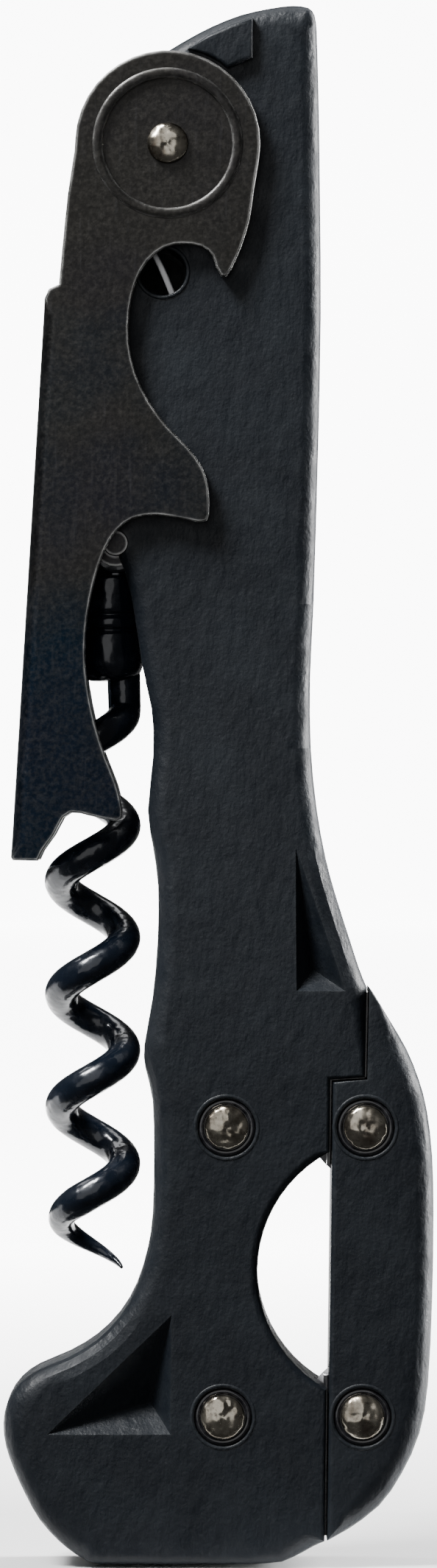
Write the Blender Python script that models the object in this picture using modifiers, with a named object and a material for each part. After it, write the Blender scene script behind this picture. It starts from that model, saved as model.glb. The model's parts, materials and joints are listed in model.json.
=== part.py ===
"""A folding lever corkscrew with a two step lever, a worm and a pull-out foil cutter jaw.

The tool stands on the flat end of its handle: +Z runs up its length, the front faces -Y, and
the origin is the middle of the footprint. Sizes are in millimetres and become metres where a
mesh is made.
"""

import math

import bmesh
import bpy
import numpy as np
from mathutils import Matrix, Vector

MM = 0.001

# Driving sizes of the whole tool
LENGTH = 130.0
WIDTH = 35.92
BASE_HALF = 6.6  # half the handle's thickness at the foil cutter
GRIP_HALF = 5.2  # half the handle's thickness between the lever's cheeks
DRAWN_LENGTH, DRAWN_WIDTH = 130.0, 35.92  # the outlines below are drawn at this size

# Clearances
HALF_GAP = 0.05  # each shell stops this far from the middle plane
FIT = 0.15  # round a part that sits in a pocket
BORE_FIT = 0.08  # round a pin or rivet, on the radius
CHEEK_GAP = 0.15  # between the handle's face and a lever cheek
SLOT_FIT = 0.25  # beside a part that swings or slides

# Fasteners
RIVET_SHANK, RIVET_HEAD, RIVET_DOME = 1.2, 1.85, 0.7
WASHER_RADIUS, WASHER_THICK = 2.3, 0.2
SEAT_RADIUS, SEAT_DEPTH = 2.45, 0.5
PIVOT_SHANK, PIVOT_HEAD, PIVOT_DOME = 1.25, 1.7, 0.75

# Lever
SHEET = 1.3
FOLD_RADIUS = 1.1
DISC_RADIUS, DISC_SINK = 5.6, 0.35

# Worm
WIRE = 1.37
HELIX_RADIUS = 2.68
TURNS = 4.93
HUB_RADIUS, HUB_SHIFT = 2.75, -0.5  # the hub's middle sits left of its pin
NECK_RADIUS, NECK_DROP = 2.1, 2.6
KNUCKLE_RADIUS, KNUCKLE_HALF = 2.6, 2.2
PIN_RADIUS = 1.0
SLOT_HALF = 4.2
SPACER_RADIUS = 1.9

# Inner parts
CORE_HALF = 0.9
LEAF_THICK, LEAF_HALF = 0.7, 2.4
WINDOW_RADIUS, WINDOW_FLOOR = 2.0, 3.0  # blind: its floor is this far behind the middle

# Foil cutter
DISC_CUT_RADIUS, DISC_CUT_HALF = 4.65, 0.25
DISC_SLOT_HALF = 0.45
SLIDER_NEAR, SLIDER_FAR = 0.6, 2.0  # the slider plate's front and back faces
ARM_LOW, ARM_HIGH = 5.4, 10.2
ARM_END = -14.4
DETENT_THICK = 0.35

# Roundings
RIM = 1.6
SPLIT_RIM = 0.35
ARC_RIM = 0.7
STOP_RISE, STOP_ROOT = 0.9, 1.3


def place(x, z):
    """A point of the drawn outline, at the size that LENGTH and WIDTH set."""
    return x * WIDTH / DRAWN_WIDTH, z * LENGTH / DRAWN_LENGTH


PIVOT = place(-4.23, 118.36)
WORM_PIVOT = place(-8.6, 85.1)
WORM_AXIS_X, WORM_TOP = place(-10.57, 71.0)
WORM_TIP = place(0.0, 24.3)[1]
HUB_END = place(0.0, 73.6)[1]
HANDLE_RIVETS = {"upper": place(0.67, 36.4), "lower": place(0.37, 12.3)}
JAW_RIVETS = {"upper": place(12.26, 36.4), "lower": place(12.0, 12.3)}
WINDOW = place(-4.66, 107.7)

# Finishes: colour, roughness, metallic
FINISHES = {
    "matte_black": ((0.028, 0.031, 0.034), 0.62, 0.0),
    "gunmetal": ((0.045, 0.047, 0.055), 0.34, 0.9),
    "blued_steel": ((0.02, 0.024, 0.04), 0.22, 0.9),
    "bright_steel": ((0.62, 0.6, 0.57), 0.25, 1.0),
    "spring_steel": ((0.35, 0.35, 0.36), 0.35, 1.0),
    "black_washer": ((0.015, 0.015, 0.018), 0.25, 0.2),
}


def clear_scene():
    for obj in list(bpy.data.objects):
        bpy.data.objects.remove(obj, do_unlink=True)


def new_collection(name):
    made = bpy.data.collections.new(name)
    bpy.context.scene.collection.children.link(made)
    return made


clear_scene()
PARTS = new_collection("lever_corkscrew")
CUTTERS = new_collection("cutters")
CUTTERS.hide_render = True


def finish(name):
    colour, roughness, metallic = FINISHES[name]
    material = bpy.data.materials.get(name) or bpy.data.materials.new(name)
    material.use_nodes = True
    shader = material.node_tree.nodes["Principled BSDF"]
    shader.inputs["Base Color"].default_value = (*colour, 1.0)
    shader.inputs["Roughness"].default_value = roughness
    shader.inputs["Metallic"].default_value = metallic
    material.diffuse_color = (*colour, 1.0)
    return material


def face_half(z):
    """Half the handle's thickness at a height: thin at the grip, thicker at the cutter."""
    low, high = place(0, 40)[1], place(0, 84)[1]
    share = min(max((z - low) / (high - low), 0.0), 1.0)
    share = share * share * (3.0 - 2.0 * share)
    return BASE_HALF + (GRIP_HALF - BASE_HALF) * share


TAPER_LEVELS = [place(0, 40 + 4 * k)[1] for k in range(12)]


# Outlines ------------------------------------------------------------------


def smooth(points, steps=4):
    """A Catmull-Rom curve through the points, with its two end points kept."""
    out = []
    for i in range(len(points) - 1):
        before = points[max(i - 1, 0)]
        start, end = points[i], points[i + 1]
        after = points[min(i + 2, len(points) - 1)]
        for k in range(steps):
            t = k / steps
            out.append(tuple(
                0.5 * (2 * b + (c - a) * t + (2 * a - 5 * b + 4 * c - d) * t * t
                       + (3 * b - a - 3 * c + d) * t ** 3)
                for a, b, c, d in zip(before, start, end, after)
            ))
    out.append(tuple(points[-1]))
    return out


def arc(centre, radius, first, last, count):
    """Points on a circle from one angle to another, in degrees from +X towards +Z."""
    angles = [math.radians(first + (last - first) * i / count) for i in range(count + 1)]
    return [(centre[0] + radius * math.cos(a), centre[1] + radius * math.sin(a)) for a in angles]


def placed(points):
    return [place(x, z) for x, z in points]


def grow(points, amount):
    """The outline moved outwards, by one amount or one for each point. It runs anticlockwise."""
    here = np.array(points)
    one = here - np.roll(here, 1, axis=0)
    two = np.roll(here, -1, axis=0) - here
    one /= np.linalg.norm(one, axis=1)[:, None]
    two /= np.linalg.norm(two, axis=1)[:, None]
    normal = np.stack([one[:, 1] + two[:, 1], -one[:, 0] - two[:, 0]], axis=1)
    normal /= np.linalg.norm(normal, axis=1)[:, None]
    lean = np.maximum(normal[:, 0] * one[:, 1] - normal[:, 1] * one[:, 0], 0.4)
    moved = here + normal * (np.ones(len(here)) * amount / lean)[:, None]
    return [tuple(point) for point in moved]


def crossings(points):
    """The sides of a closed outline that meet a side they are not next to."""
    start = np.array(points)
    end = np.roll(start, -1, axis=0)

    def turn(a, b, c):
        return np.sign((b[..., 0] - a[..., 0]) * (c[..., 1] - a[..., 1])
                       - (b[..., 1] - a[..., 1]) * (c[..., 0] - a[..., 0]))

    a, b = start[:, None], end[:, None]
    c, d = start[None], end[None]
    meet = (turn(a, b, c) != turn(a, b, d)) & (turn(c, d, a) != turn(c, d, b))
    count = len(start)
    apart = np.abs(np.subtract.outer(np.arange(count), np.arange(count)))
    meet &= (apart > 1) & (apart < count - 1)
    return meet.any(axis=1)


def rim_widths(outline, width_at):
    """The rounding at each point of an outline, made smaller where it would cross itself."""
    widths = np.array([width_at(x, z) for x, z in outline])
    sides = np.roll(np.array(outline), -1, axis=0) - np.array(outline)
    for _ in range(80):
        inner = np.array(grow(outline, -widths))
        kept = ((np.roll(inner, -1, axis=0) - inner) * sides).sum(axis=1)
        bad = (kept < 0.2 * (sides ** 2).sum(axis=1)) | crossings(grow(outline, -1.1 * widths))
        if not bad.any():
            break
        bad |= np.roll(bad, 1)
        widths[bad] *= 0.85
    return widths


def ribbon(path, thick):
    """The outline of a bent strip that follows a path."""
    sides = []
    for i, here in enumerate(path):
        before, after = path[max(i - 1, 0)], path[min(i + 1, len(path) - 1)]
        along = (Vector(after) - Vector(before)).normalized()
        sides.append((Vector(here), Vector((along.y, -along.x)) * thick / 2))
    right = [tuple(point + side) for point, side in sides]
    left = [tuple(point - side) for point, side in reversed(sides)]
    return right + left


def turned_way(points):
    """The outline, anticlockwise."""
    area = sum(a[0] * b[1] - b[0] * a[1] for a, b in zip(points, points[1:] + points[:1]))
    return points if area > 0 else points[::-1]


WAIST_RIGHT = smooth([
    (12.38, 48.05), (11.75, 49.6), (10.91, 52.2), (9.81, 55.65), (8.95, 58.84), (8.2, 63.0),
    (7.72, 68.0), (7.66, 73.8), (7.95, 80.0), (8.34, 93.0), (8.56, 104.0), (8.5, 114.0),
    (8.36, 123.0), (8.22, 127.8),
], 2)
CROWN = smooth([
    (8.22, 127.8), (8.05, 129.1), (7.5, 129.78), (6.25, 130.0), (4.29, 129.76), (1.84, 129.21),
    (-0.61, 128.23), (-2.57, 127.2), (-4.0, 126.35), (-5.03, 125.66),
], 2)
WAIST_LEFT = smooth([
    (-11.57, 117.2), (-11.5, 104.0), (-11.4, 90.5), (-10.6, 86.9), (-8.6, 84.4), (-7.35, 80.6),
    (-6.45, 75.0), (-5.6, 71.3), (-5.45, 67.5), (-5.9, 62.8), (-5.45, 59.6), (-5.05, 56.5),
    (-5.08, 52.0), (-5.5, 47.2), (-6.2, 43.2), (-6.1, 41.3), (-5.5, 38.6), (-5.38, 34.0),
    (-5.5, 29.2), (-5.95, 26.0), (-6.9, 22.9), (-8.3, 20.5), (-10.2, 18.6), (-12.5, 17.2),
    (-15.08, 16.1), (-16.6, 15.0), (-17.6, 13.5), (-17.96, 11.7), (-17.75, 9.8), (-17.1, 7.9),
    (-16.1, 5.7), (-14.9, 3.6), (-13.36, 1.89), (-11.9, 0.75), (-10.9, 0.25), (-9.9, 0.0),
], 2)
TOE = smooth([(2.6, 0.0), (5.27, 0.2), (6.99, 0.91), (8.83, 1.95)], 2)
CUTTER_ARC = arc((14.45, 24.4), 11.2, 240.9, 117.6, 22)
HANDLE_OUTLINE = placed(
    TOE + CUTTER_ARC + [(9.32, 40.39), (12.20, 40.57)] + WAIST_RIGHT + CROWN[1:]
    + arc((-4.23, 118.36), 7.34, 102.0, 178.0, 8) + WAIST_LEFT
)
JAW_OUTLINE = placed(
    [(9.05, 1.98)]
    + smooth([(10.9, 2.9), (13.4, 4.8), (15.3, 7.5), (16.8, 10.9), (17.5, 15.0), (17.85, 22.0),
              (17.96, 29.0), (17.85, 34.0), (17.4, 37.8), (16.75, 40.3), (15.7, 42.9),
              (14.3, 45.3), (12.85, 47.7), (12.58, 47.95)], 2)
    + [(12.40, 40.38), (9.53, 40.2)]
)

LEVER_OUTLINE = placed(
    arc((-4.23, 118.36), 7.72, -10.0, 178.0, 20)
    + smooth([(-12.02, 117.6), (-12.57, 114.0), (-13.0, 109.8), (-13.3, 106.6)], 2)
    + [(-14.15, 106.2), (-14.5, 105.4), (-14.59, 103.9), (-15.9, 82.15), (-17.21, 60.4)]
    + [(-17.3, 58.9), (-17.15, 58.65)]
    + [(-15.05, 58.6), (-14.68, 59.4), (-13.75, 60.7), (-12.95, 62.2), (-12.3, 62.62)]
    + smooth([(-11.5, 62.55), (-9.9, 62.15), (-8.5, 61.9)], 2)
    + smooth([(-8.1, 62.1), (-8.0, 62.9), (-8.5, 65.0), (-9.4, 67.3), (-10.25, 70.0),
              (-10.9, 73.3), (-11.1, 76.1), (-10.9, 79.0), (-10.3, 82.0), (-9.5, 84.4),
              (-8.46, 86.1), (-7.1, 87.1), (-5.2, 87.38), (-3.25, 87.1), (-1.75, 86.8)], 2)
    + smooth([(-1.1, 86.85), (-0.78, 87.4), (-0.82, 89.6), (-1.35, 91.4), (-2.6, 93.1),
              (-4.2, 94.7), (-5.75, 96.8), (-6.9, 99.2), (-7.45, 101.8), (-7.4, 104.4),
              (-6.9, 106.7), (-5.95, 108.5), (-4.5, 109.65), (-2.94, 109.95), (-1.4, 109.7),
              (-0.55, 109.0), (-0.25, 108.1)], 2)
    + [(0.2, 107.3), (0.66, 107.24)]
    + smooth([(1.15, 107.95), (1.95, 109.8), (2.6, 112.0), (2.95, 114.4)], 2)
)
# Everything right of the spine's inner face, and all of the width above its end
LEVER_HOLLOW = placed([
    (-22.0, 105.2), (-13.2, 105.2), (-16.03, 56.0), (8.0, 56.0), (8.0, 130.0), (-22.0, 130.0),
])

CORE_OUTLINE = turned_way(placed(smooth([
    (1.4, 24.2), (2.9, 17.6), (2.9, 12.3), (1.6, 11.1), (-1.6, 11.1), (-2.6, 13.0),
    (-2.9, 20.0), (-2.9, 32.0), (-2.9, 48.0), (-2.7, 60.0), (-2.2, 72.0), (-1.0, 82.0),
    (0.6, 92.0), (0.7, 108.0), (-0.6, 112.9), (-4.5, 114.2), (-7.4, 115.6), (-8.3, 118.4),
    (-7.2, 121.4), (-4.0, 122.9), (0.5, 124.2), (3.9, 125.2), (5.9, 123.4), (6.1, 110.0),
    (5.8, 92.0), (5.2, 76.0), (5.4, 64.0), (6.4, 54.0), (7.6, 47.6), (6.9, 43.6), (3.3, 40.2),
    (2.6, 34.0), (1.4, 28.0), (1.4, 24.2),
], 2)[:-1]))

LEAF_PATH = placed(smooth([
    (-7.3, 112.3), (-4.7, 108.0), (-2.9, 102.5), (-2.7, 96.0), (-4.2, 91.0), (-6.0, 89.0),
], 4))
DETENT_PATH = placed(smooth([(-13.0, 11.7), (-11.0, 11.0), (-9.0, 10.75), (-7.0, 11.0),
                             (-5.0, 11.7)], 3))

STOP_OUTLINE = turned_way(
    placed(arc((-4.23, 118.36), 8.06, 78.0, 57.5, 5)
    + [(0.74, 124.62), (2.88, 125.47), (2.88, 128.9), (1.0, 128.25), (-0.9, 127.35)])
)

# Sculpted pits beside the waist: three corners on the face, the deepest point, its depth
PITS = [
    (placed([(6.44, 59.7), (6.5, 47.74), (10.6, 47.74)]), place(7.95, 49.5), 2.3),
    (placed([(-14.3, 10.84), (-4.0, 10.84), (-3.9, 20.8)]), place(-5.7, 13.4), 2.6),
]


# Solids --------------------------------------------------------------------


def add(name, data, collection=None):
    obj = bpy.data.objects.new(name, data)
    (collection or PARTS).objects.link(obj)
    return obj


def evaluated_mesh(obj):
    bpy.context.view_layer.update()
    graph = bpy.context.evaluated_depsgraph_get()
    return bpy.data.meshes.new_from_object(obj.evaluated_get(graph))


def remake(obj, name, collection=None):
    """The object as a plain welded mesh in world space, in place of the first one."""
    mesh = evaluated_mesh(obj)
    shape = bmesh.new()
    shape.from_mesh(mesh)
    shape.transform(obj.matrix_world)
    bmesh.ops.remove_doubles(shape, verts=shape.verts, dist=1e-6)
    bmesh.ops.recalc_face_normals(shape, faces=shape.faces)
    if shape.calc_volume(signed=True) < 0.0:
        bmesh.ops.reverse_faces(shape, faces=shape.faces)
    shape.to_mesh(mesh)
    shape.free()
    bpy.data.objects.remove(obj, do_unlink=True)
    mesh.name = name
    return add(name, mesh, collection)


def slab(name, outline, y_low, y_high, collection=None):
    """A flat outline in the XZ plane given a thickness along Y."""
    curve = bpy.data.curves.new(name, "CURVE")
    curve.dimensions = "2D"
    curve.fill_mode = "BOTH"
    curve.extrude = (y_high - y_low) / 2 * MM
    spline = curve.splines.new("POLY")
    spline.points.add(len(outline) - 1)
    for point, (x, z) in zip(spline.points, outline):
        point.co = (x * MM, z * MM, 0.0, 1.0)
    spline.use_cyclic_u = True
    obj = add(name + "_outline", curve, collection)
    obj.rotation_euler = (math.pi / 2, 0.0, 0.0)
    obj.location = (0.0, (y_low + y_high) / 2 * MM, 0.0)
    return remake(obj, name, collection)


def turned(name, profile, centre, steps=32, closed=False, collection=None):
    """A round part on an axis along Y. The profile is (radius, height towards the front)."""
    mesh = bpy.data.meshes.new(name)
    edges = [(i, i + 1) for i in range(len(profile) - 1)]
    if closed:
        edges.append((len(profile) - 1, 0))
    mesh.from_pydata([(r * MM, 0.0, h * MM) for r, h in profile], edges, [])
    obj = add(name, mesh, collection)
    screw = obj.modifiers.new("turn", "SCREW")
    screw.axis = "Z"
    screw.steps = screw.render_steps = steps
    screw.use_merge_vertices = True
    screw.merge_threshold = 1e-6
    obj.rotation_euler = (math.pi / 2, 0.0, 0.0)
    obj.location = (centre[0] * MM, 0.0, centre[1] * MM)
    return obj


def ring(name, inner, outer, low, high, centre, steps=32, collection=None):
    profile = [(inner, high), (outer, high), (outer, low), (inner, low)]
    return turned(name, profile, centre, steps, True, collection)


def bore(name, radius, centre, low=-10.0, high=10.0, steps=24):
    profile = [(0.0, high), (radius, high), (radius, low), (0.0, low)]
    return as_cutter(turned(name, profile, centre, steps, collection=CUTTERS))


def as_cutter(obj):
    obj.display_type = "WIRE"
    obj.hide_render = True
    return obj


def cutter_slab(name, outline, y_low, y_high):
    return as_cutter(slab(name, outline, y_low, y_high, CUTTERS))


def box_outline(x_low, x_high, z_low, z_high):
    return [(x_low, z_low), (x_high, z_low), (x_high, z_high), (x_low, z_high)]


def combine(obj, other, operation="DIFFERENCE"):
    step = obj.modifiers.new(other.name, "BOOLEAN")
    step.operation = operation
    step.solver = "EXACT"
    step.use_self = True
    step.object = other


def cut(obj, cutters):
    for cutter in cutters:
        combine(obj, cutter)


def shade(obj):
    obj.data.shade_smooth()
    obj.data.set_sharp_from_angle(angle=math.radians(35))


def give(obj, material):
    obj.data.materials.clear()
    obj.data.materials.append(finish(material))
    if obj.type == "MESH":
        shade(obj)
    return obj


def rounded(name, outline, half, width_at, bend=None, count=3):
    """A flat body lofted through both of its rounded rims; bend gives y at each height z.

    A bent body is sliced across first, so that its faces can follow the bend."""
    widths = rim_widths(outline, width_at)
    quarter = [math.pi / 2 * k / count for k in range(count + 1)]
    rings = [(a, -1.0) for a in reversed(quarter)] + [(a, 1.0) for a in quarter]
    shape = bmesh.new()
    made = []
    for angle, side in rings:
        points = grow(outline, -widths * (1.0 - math.cos(angle)))
        level = side * (half - widths * (1.0 - math.sin(angle)))
        made.append([shape.verts.new((x, y, z)) for (x, z), y in zip(points, level)])
    size = len(outline)
    for lower, upper in zip(made, made[1:]):
        for i in range(size):
            j = (i + 1) % size
            shape.faces.new((lower[i], lower[j], upper[j], upper[i]))
    caps = [shape.faces.new(made[0][::-1]), shape.faces.new(made[-1])]
    shape.normal_update()
    bmesh.ops.triangulate(shape, faces=caps)
    for level in TAPER_LEVELS if bend else ():
        everything = shape.verts[:] + shape.edges[:] + shape.faces[:]
        bmesh.ops.bisect_plane(shape, geom=everything, dist=1e-4, plane_co=(0.0, 0.0, level),
                               plane_no=(0.0, 0.0, 1.0))
    bmesh.ops.triangulate(shape, faces=[face for face in shape.faces if len(face.verts) > 4])
    for vertex in shape.verts:
        if bend:
            vertex.co.y = bend(vertex.co.y, vertex.co.z)
        vertex.co *= MM
    bmesh.ops.recalc_face_normals(shape, faces=shape.faces)
    mesh = bpy.data.meshes.new(name)
    shape.to_mesh(mesh)
    shape.free()
    return mesh


# Handle --------------------------------------------------------------------


def handle_rim(x, z):
    """Crisp along the split, softer in the cutter's arc, round everywhere else."""
    px, pz = place(8.7, 1.2)
    top = place(0, 47.5)[1]
    if x > px - 0.3 and pz < z < top:
        return SPLIT_RIM
    in_arc = place(3.0, 0)[0] < x and place(0, 14.0)[1] < z < place(0, 34.5)[1]
    if in_arc:
        return ARC_RIM
    if x > place(7.2, 0)[0] and z > place(0, 128.0)[1]:
        return 0.8
    if z < 0.4:
        return 0.8
    return RIM


def tapered(y, z):
    """Thins a body of BASE_HALF towards the grip, so both faces follow face_half."""
    return y * face_half(z) / BASE_HALF


def seat_cutter(name, centre, shank):
    """A through bore with a counterbore at each face."""
    face = face_half(centre[1])
    floor = face - SEAT_DEPTH
    hole = shank + BORE_FIT
    profile = [(0.0, 9.0), (SEAT_RADIUS, 9.0), (SEAT_RADIUS, floor), (hole, floor),
               (hole, -floor), (SEAT_RADIUS, -floor), (SEAT_RADIUS, -9.0), (0.0, -9.0)]
    return as_cutter(turned(name, profile, centre, 32, collection=CUTTERS))


def pit_cutter(name, corners, deepest, depth, side):
    """A three-sided pit: a pyramid from the deepest point through the corners and past them."""
    level = face_half(deepest[1])
    tip = Vector((deepest[0], side * (level - depth), deepest[1]))
    shape = bmesh.new()
    shape.verts.new(tip * MM)
    for x, z in corners:
        corner = Vector((x, side * face_half(z), z))
        shape.verts.new((tip + (corner - tip) * 1.6) * MM)
    bmesh.ops.convex_hull(shape, input=shape.verts)
    bmesh.ops.recalc_face_normals(shape, faces=shape.faces)
    mesh = bpy.data.meshes.new(name)
    shape.to_mesh(mesh)
    shape.free()
    return as_cutter(add(name, mesh, CUTTERS))


def worm_slot():
    """The room the worm's hub folds into: open to the left, round behind the knuckle."""
    px, pz = WORM_PIVOT
    back = px + HUB_SHIFT + HUB_RADIUS + SLOT_FIT
    low = HUB_END - 1.5
    left = px - 12.0
    round_back = arc(WORM_PIVOT, KNUCKLE_RADIUS + SLOT_FIT + 0.3, 0.0, 90.0, 8)
    outline = [(left, low), (back, low), (back, pz - 1.0)] + round_back
    top = pz + HUB_RADIUS - HUB_SHIFT + SLOT_FIT
    outline += [(px, top), (left, top)]
    return cutter_slab("worm_slot", outline, -SLOT_HALF, SLOT_HALF)


def handle_shells():
    body = rounded("handle_blank", HANDLE_OUTLINE, BASE_HALF, handle_rim, tapered)
    shared = [
        cutter_slab("core_pocket", grow(CORE_OUTLINE, FIT), -CORE_HALF - 0.1, CORE_HALF + 0.1),
        worm_slot(),
        cutter_slab("leaf_pocket", ribbon(LEAF_PATH, LEAF_THICK + 2.0),
                    -LEAF_HALF - 0.27, LEAF_HALF + 0.27),
        bore("window", WINDOW_RADIUS, WINDOW, -WINDOW_FLOOR, 10.0),
        bore("pivot_bore", PIVOT_SHANK + BORE_FIT, PIVOT),
        bore("worm_pin_bore", PIN_RADIUS + BORE_FIT, WORM_PIVOT),
    ]
    for key, centre in HANDLE_RIVETS.items():
        shared.append(seat_cutter("handle_seat_" + key, centre, RIVET_SHANK))
    for key, centre in JAW_RIVETS.items():
        shared.append(bore("disc_slot_" + key, DISC_CUT_RADIUS + SLOT_FIT, centre,
                           -DISC_SLOT_HALF, DISC_SLOT_HALF, 48))
    channel = [
        cutter_slab("arm_channel", box_outline(ARM_END - SLOT_FIT, 14.0, ARM_LOW - FIT,
                                               ARM_HIGH + FIT), -1.0, SLIDER_FAR + 0.1),
        cutter_slab("detent_pocket", box_outline(DETENT_PATH[0][0] - 0.5,
                                                 DETENT_PATH[-1][0] + 0.5, ARM_HIGH - 1.0,
                                                 DETENT_PATH[0][1] + 0.5), -0.9,
                    SLIDER_FAR + 0.15),
    ]
    for side, word in ((-1, "front"), (1, "back")):
        shell = add("handle_%s_shell" % word, body.copy())
        reach = side * (GRIP_HALF + (STOP_RISE - STOP_ROOT) / 2)
        stop = add("stop_block_" + word,
                   rounded("stop_block_" + word, STOP_OUTLINE, (STOP_RISE + STOP_ROOT) / 2,
                           lambda x, z: 0.35, lambda y, z: y + reach), CUTTERS)
        away = (-HALF_GAP, 20.0) if side < 0 else (-20.0, HALF_GAP)
        combine(shell, cutter_slab("other_half_" + word, box_outline(-40, 40, -20, LENGTH + 40),
                                   *away))
        combine(shell, as_cutter(stop), "UNION")
        cut(shell, shared)
        for i, (corners, deepest, depth) in enumerate(PITS):
            combine(shell, pit_cutter("pit_%s_%d" % (word, i), corners, deepest, depth, side))
        if side > 0:
            cut(shell, channel)
        give(shell, "matte_black")


def core_plate():
    plate = slab("core_plate", CORE_OUTLINE, -CORE_HALF, CORE_HALF)
    cut(plate, [bore("core_pivot_bore", PIVOT_SHANK + BORE_FIT, PIVOT)]
        + [bore("core_bore_" + key, RIVET_SHANK + BORE_FIT, centre)
           for key, centre in HANDLE_RIVETS.items()])
    give(plate, "spring_steel")


def inner_springs():
    give(slab("worm_backspring", ribbon(LEAF_PATH, LEAF_THICK), -LEAF_HALF, LEAF_HALF),
         "spring_steel")
    give(slab("jaw_detent_spring", ribbon(DETENT_PATH, DETENT_THICK), SLIDER_NEAR + 0.1,
              SLIDER_FAR - 0.1), "spring_steel")


# Rivets, pins and washers --------------------------------------------------


def dome(radius, base, rise, count=5):
    """A rivet head's profile, from its crown out to its rim, on a base height."""
    points = []
    for i in range(count + 1):
        angle = math.pi / 2 * (1 - i / count)
        points.append((radius * math.cos(angle), base + 0.15 + (rise - 0.15) * math.sin(angle)))
    points[0] = (0.0, base + rise)
    return points + [(radius, base)]


def rivet(name, centre, shank, head, seat, rise):
    """A rivet with a domed head at each end, its heads resting on seat."""
    front = dome(head, seat, rise) + [(shank, seat)]
    back = [(r, -h) for r, h in reversed(front)]
    return give(turned(name, front + back, centre), "bright_steel")


def fasteners():
    for owner, rivets in (("handle", HANDLE_RIVETS), ("jaw", JAW_RIVETS)):
        for key, centre in rivets.items():
            floor = face_half(centre[1]) - SEAT_DEPTH
            top = floor + 0.05 + WASHER_THICK
            rivet("%s_rivet_%s" % (owner, key), centre, RIVET_SHANK, RIVET_HEAD, top + 0.05,
                  RIVET_DOME)
            for side, word in ((1, "front"), (-1, "back")):
                low, high = sorted((side * (floor + 0.05), side * top))
                give(ring("%s_washer_%s_%s" % (owner, key, word), RIVET_SHANK + BORE_FIT,
                          WASHER_RADIUS, low, high, centre), "black_washer")
    seat = GRIP_HALF + CHEEK_GAP + SHEET - DISC_SINK + 0.05
    rivet("lever_pivot_rivet", PIVOT, PIVOT_SHANK, PIVOT_HEAD, seat, PIVOT_DOME)


def worm_fittings():
    reach = GRIP_HALF - 0.1
    profile = [(0.0, reach), (PIN_RADIUS, reach), (PIN_RADIUS, -reach), (0.0, -reach)]
    give(turned("worm_pin", profile, WORM_PIVOT, 24), "bright_steel")
    near, far = KNUCKLE_HALF + 0.1, SLOT_HALF - 0.1
    for side, word in ((1, "front"), (-1, "back")):
        low, high = sorted((side * near, side * far))
        give(ring("worm_spacer_" + word, PIN_RADIUS + BORE_FIT, SPACER_RADIUS, low, high,
                  WORM_PIVOT, 24), "spring_steel")


# Lever ---------------------------------------------------------------------


def lever():
    outer = GRIP_HALF + CHEEK_GAP + SHEET
    top, foot = place(-14.5, 105.4)[1], place(-17.3, 58.9)[1]
    spine = place(-13.9, 0.0)[0]

    def on_fold(x, z):
        return FOLD_RADIUS if x < spine and foot + 0.5 < z < top - 0.5 else 0.15

    made = add("lever", rounded("lever", turned_way(LEVER_OUTLINE), outer, on_fold))
    inner = GRIP_HALF + CHEEK_GAP
    sunk, hole = outer - DISC_SINK, PIVOT_SHANK + BORE_FIT
    profile = [(0.0, 9.0), (DISC_RADIUS, 9.0), (DISC_RADIUS, sunk), (hole, sunk),
               (hole, -sunk), (DISC_RADIUS, -sunk), (DISC_RADIUS, -9.0), (0.0, -9.0)]
    seat = as_cutter(turned("lever_seat", profile, PIVOT, 48, collection=CUTTERS))
    cut(made, [cutter_slab("lever_hollow", turned_way(LEVER_HOLLOW), -inner, inner), seat])
    return give(made, "gunmetal")


# Worm ----------------------------------------------------------------------


def worm_path(per_turn=12):
    """The wire's middle line and radius: straight down from the hub, round the helix, and
    tapering to the point over its last half turn."""
    pitch = (WORM_TOP - WORM_TIP) / TURNS
    right = WORM_AXIS_X + HELIX_RADIUS
    points = [(right - 0.15, 0.0, HUB_END + 2.0, WIRE), (right - 0.1, 0.0, HUB_END, WIRE)]
    count = round(TURNS * per_turn)
    for i in range(count + 1):
        turn = TURNS * i / count
        angle = 2 * math.pi * turn
        left = (TURNS - turn) / 0.6
        radius = WIRE * min(1.0, 0.12 + 0.88 * left)
        points.append((WORM_AXIS_X + HELIX_RADIUS * math.cos(angle),
                       -HELIX_RADIUS * math.sin(angle), WORM_TOP - pitch * turn, radius))
    return points


def post(name, x, radius, low, high, segments=28):
    """An upright round bar."""
    shape = bmesh.new()
    spot = Matrix.Translation(Vector((x, 0.0, (low + high) / 2)) * MM)
    bmesh.ops.create_cone(shape, cap_ends=True, segments=segments, radius1=radius * MM,
                          radius2=radius * MM, depth=(high - low) * MM, matrix=spot)
    mesh = bpy.data.meshes.new(name)
    shape.to_mesh(mesh)
    shape.free()
    return mesh


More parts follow.
